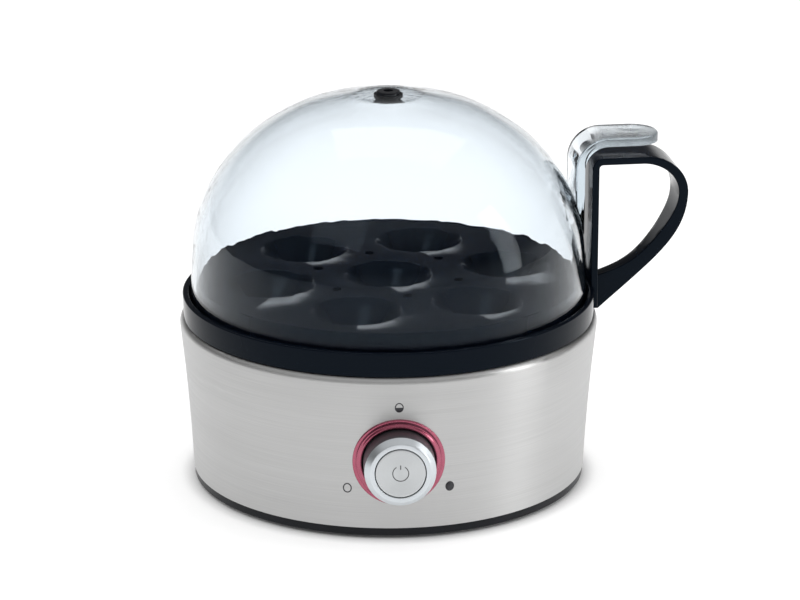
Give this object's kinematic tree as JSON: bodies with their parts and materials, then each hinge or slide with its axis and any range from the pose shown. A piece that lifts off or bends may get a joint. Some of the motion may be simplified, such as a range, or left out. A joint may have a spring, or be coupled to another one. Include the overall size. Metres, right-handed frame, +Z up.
{
  "type": "egg boiler",
  "caption": "Electric egg boiler with a steel-clad round base, a lift-off egg tray with a strap handle, a clear dome lid with a grip, and a knob with a push button.",
  "frame": {"origin": "on the round body's axis, in the plane the foot ring stands on", "axes": "+Z up along the round body's axis, -Y towards the knob, +X towards the tray's handle (which lies 5 degrees round from it)"},
  "size_m": [0.1974, 0.1724, 0.1535],
  "materials": {
    "casing_steel": "brushed round the body",
    "tray_black": "polished",
    "black_pan": "fine grain",
    "black_rubber": "matt",
    "white_rubber": "matt",
    "red_rubber": "satin",
    "dish_steel": "brushed",
    "screw_steel": "plated",
    "spreader_aluminium": "as rolled",
    "brown_plastic": "matt",
    "blue_plastic": "matt",
    "white_plastic": "matt",
    "green_board": "lacquered",
    "red_clear": "clear red",
    "knob_silver": "plated, bright",
    "button_silver": "plated, satin",
    "lid_clear": "clear, polished"
  },
  "bodies": {
    "base": {"steel_casing": "casing_steel", "base_pan": "black_pan", "foot_ring": "black_rubber", "pan_screws": "screw_steel", "inner_housing": "black_pan", "plate_seal": "white_rubber", "heating_plate": "dish_steel", "clamp_ring": "screw_steel", "clamp_screws": "screw_steel", "heat_spreader": "spreader_aluminium", "heating_element": "dish_steel", "element_terminals": "screw_steel", "thermostat": "brown_plastic", "thermostat_screws": "screw_steel", "thermal_fuse": "spreader_aluminium", "fuse_clip": "screw_steel", "shield_studs": "screw_steel", "shield_spacers": "spreader_aluminium", "heat_shield": "spreader_aluminium", "shield_nuts": "screw_steel", "control_board": "green_board", "board_screws": "screw_steel", "potentiometer": "brown_plastic", "push_switch": "black_pan", "relay": "blue_plastic", "buzzer": "black_pan", "ring_lights": "red_clear", "light_ring": "red_clear", "cord_gland": "black_rubber", "cord_clamp": "white_plastic", "cord_clamp_screws": "screw_steel", "terminal_block": "white_plastic", "inner_leads": "red_rubber"},
    "knob": {"knob_shell": "knob_silver", "knob_hub": "black_pan", "potentiometer_shaft": "white_plastic"},
    "button": {"button_cap": "button_silver", "button_rod": "white_plastic", "button_spring": "screw_steel"},
    "tray": {"egg_tray": "tray_black", "tray_handle": "tray_black"},
    "lid": {"dome_lid": "lid_clear", "vent_bush": "black_pan"}
  },
  "joints": [
    {"name": "knob_turn", "type": "hinge", "parent": "base", "child": "knob", "pos_m": [0, -0.078, 0.0315], "axis": [0, 1, 0], "range_deg": [-120, 120]},
    {"name": "button_push", "type": "slide", "parent": "knob", "child": "button", "axis": [0, 1, 0], "range_m": [0, 0.0015], "stiffness_N_per_m": 600, "springref_m": -0.002, "deforming": ["button_spring"]},
    {"name": "tray_lift", "type": "slide", "parent": "base", "child": "tray", "axis": [0, 0, 1], "range_m": [0, 0.1]},
    {"name": "lid_lift", "type": "slide", "parent": "tray", "child": "lid", "axis": [0, 0, 1], "range_m": [0, 0.1]}
  ]
}
